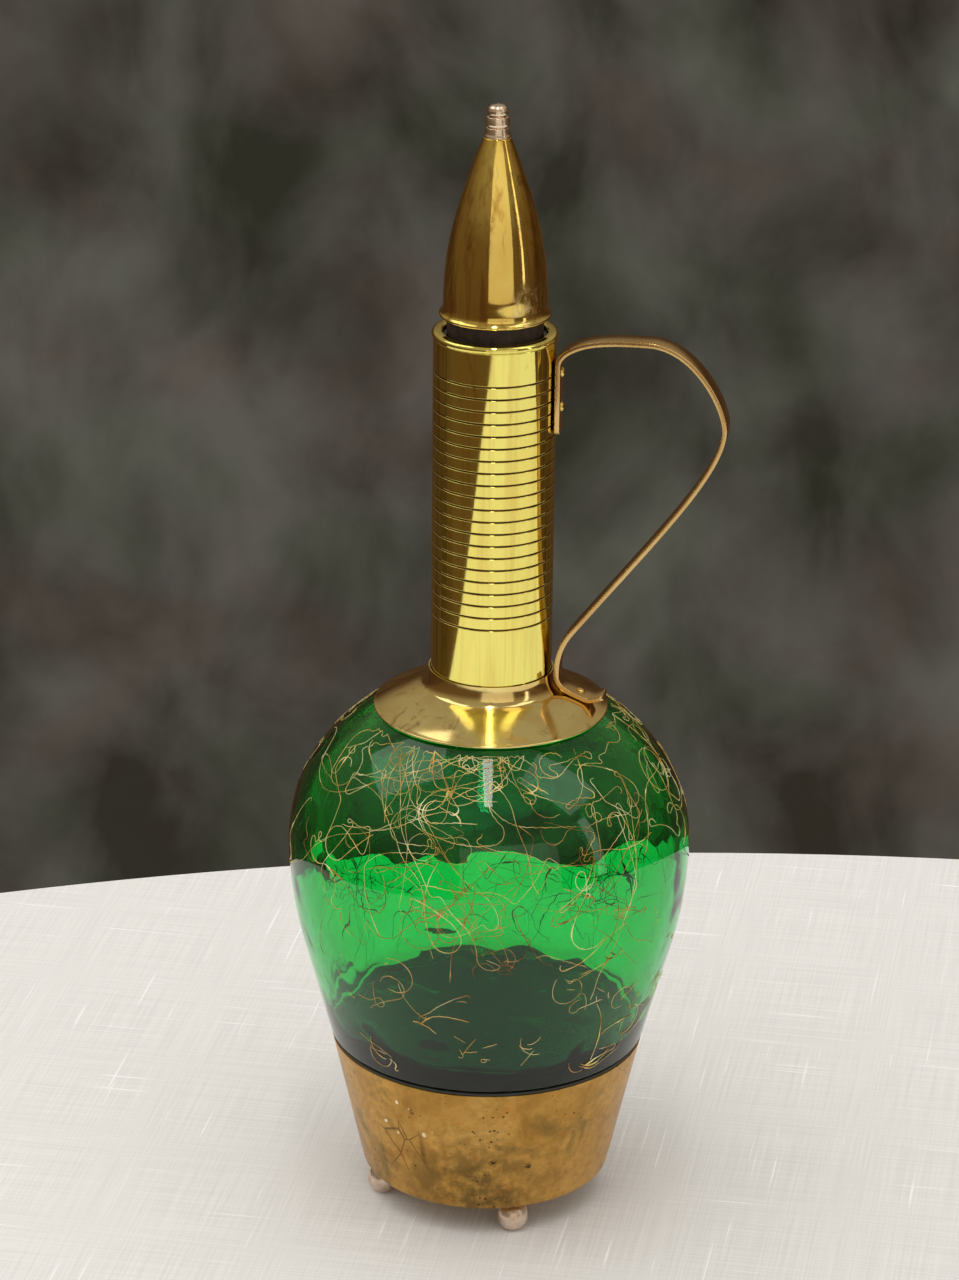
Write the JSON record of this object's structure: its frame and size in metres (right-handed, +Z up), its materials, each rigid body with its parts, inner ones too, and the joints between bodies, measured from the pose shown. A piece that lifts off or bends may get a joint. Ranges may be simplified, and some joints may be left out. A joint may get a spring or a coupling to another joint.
{
  "type": "musical decanter",
  "caption": "Glass decanter with a brass neck sleeve, strap handle and bullet stopper, on a footed brass cup that hides a wind-up musical movement.",
  "frame": {"origin": "on the bottle's axis, in the plane of the four feet's soles", "axes": "+Z up along the bottle's axis, +X towards the handle, +Y to the left of someone who looks along +X; the movement's bedplate lies square to X and Y"},
  "size_m": [0.1277, 0.1196, 0.34],
  "materials": {
    "aged_brass": "satin, patinated and scratched",
    "polished_brass": "polished, with fine turning marks",
    "collar_brass": "polished, paler than the sleeve",
    "strap_brass": "satin, browned with age",
    "green_glass": "clear emerald glass with fine fired gold thread",
    "dark_cork": "dark stained cork",
    "black_seal": "matt black",
    "felt_pad": "felt",
    "worn_nickel": "worn plating with brass showing through",
    "steel": "bright",
    "spring_steel": "blued",
    "movement_brass": "machined",
    "fan_plastic": "matt black"
  },
  "bodies": {
    "decanter": {"base_cup": "aged_brass", "bottom_plate": "aged_brass", "neck_sleeve": "polished_brass", "handle_rivet_1": "polished_brass", "handle_rivet_2": "polished_brass", "handle_rivet_3": "polished_brass", "shoulder_collar": "collar_brass", "handle_strap": "strap_brass", "glass_bottle": "green_glass", "seam_seal": "black_seal", "base_pad": "felt_pad", "foot_1": "worn_nickel", "foot_2": "worn_nickel", "foot_3": "worn_nickel", "foot_4": "worn_nickel", "foot_nut_1": "steel", "foot_nut_2": "steel", "foot_nut_3": "steel", "foot_nut_4": "steel", "shelf_plate": "steel", "bedplate_screw_1": "steel", "bedplate_screw_2": "steel", "bedplate_screw_3": "steel", "click_screw": "steel", "bridge_screw_1": "steel", "bridge_screw_2": "steel", "bearing_screw": "steel", "frame_screw_1": "steel", "frame_screw_2": "steel", "comb_screw_1": "steel", "comb_screw_2": "steel", "music_comb": "spring_steel", "bedplate": "movement_brass", "barrel_bridge": "movement_brass", "cylinder_bearing": "movement_brass", "governor_frame": "movement_brass", "comb_base": "movement_brass", "pin_guide": "movement_brass"},
    "stopper": {"stopper_shell": "polished_brass", "stopper_closing_plate": "polished_brass", "stopper_cork": "dark_cork", "cork_nut": "steel", "stopper_tie_rod": "steel", "finial": "worn_nickel"},
    "key": {"winding_key": "worn_nickel", "winding_arbor": "steel", "ratchet_wheel": "steel"},
    "click": {"ratchet_click": "steel"},
    "barrel": {"spring_barrel": "movement_brass", "barrel_wheel": "movement_brass", "mainspring": "spring_steel"},
    "cylinder": {"music_cylinder": "movement_brass", "cylinder_arbor": "steel", "cylinder_pinion": "movement_brass", "cylinder_wheel": "movement_brass"},
    "second": {"second_wheel": "movement_brass"},
    "governor": {"governor_worm": "steel", "governor_fan": "fan_plastic"},
    "silencer": {"stop_pin": "worn_nickel", "stop_arm": "spring_steel"}
  },
  "joints": [
    {"name": "stopper_lift", "type": "slide", "parent": "decanter", "child": "stopper", "axis": [0, 0, 1], "range_m": [0, 0.06]},
    {"name": "key_wind", "type": "hinge", "parent": "decanter", "child": "key", "pos_m": [-0.013, 0.004, 0], "axis": [0, 0, 1], "continuous": true},
    {"name": "click_lift", "type": "hinge", "parent": "decanter", "child": "click", "pos_m": [-0.00035, -0.00084, 0.01433], "axis": [0, 0, 1], "range_deg": [-5, 8], "stiffness_Nm_per_rad": 0.0002},
    {"name": "barrel_turn", "type": "hinge", "parent": "decanter", "child": "barrel", "pos_m": [-0.013, 0.004, 0], "axis": [0, 0, 1], "continuous": true},
    {"name": "cylinder_turn", "type": "hinge", "parent": "decanter", "child": "cylinder", "pos_m": [0.00905, 0.004, 0.02872], "axis": [1, 0, 0], "continuous": true},
    {"name": "second_turn", "type": "hinge", "parent": "decanter", "child": "second", "pos_m": [0.02123, 0.01166, 0.02515], "axis": [1, 0, 0], "continuous": true},
    {"name": "governor_spin", "type": "hinge", "parent": "decanter", "child": "governor", "pos_m": [0.02225, 0.01808, 0.02534], "axis": [0, 0, 1], "continuous": true},
    {"name": "stop_pin_drop", "type": "slide", "parent": "decanter", "child": "silencer", "axis": [0, 0, -1], "range_m": [0, 0.003]}
  ],
  "couplings": [
    {"joint": "cylinder_turn", "follows": "barrel_turn", "ratio": 3},
    {"joint": "second_turn", "follows": "barrel_turn", "ratio": -9.6},
    {"joint": "governor_spin", "follows": "barrel_turn", "ratio": 96}
  ]
}
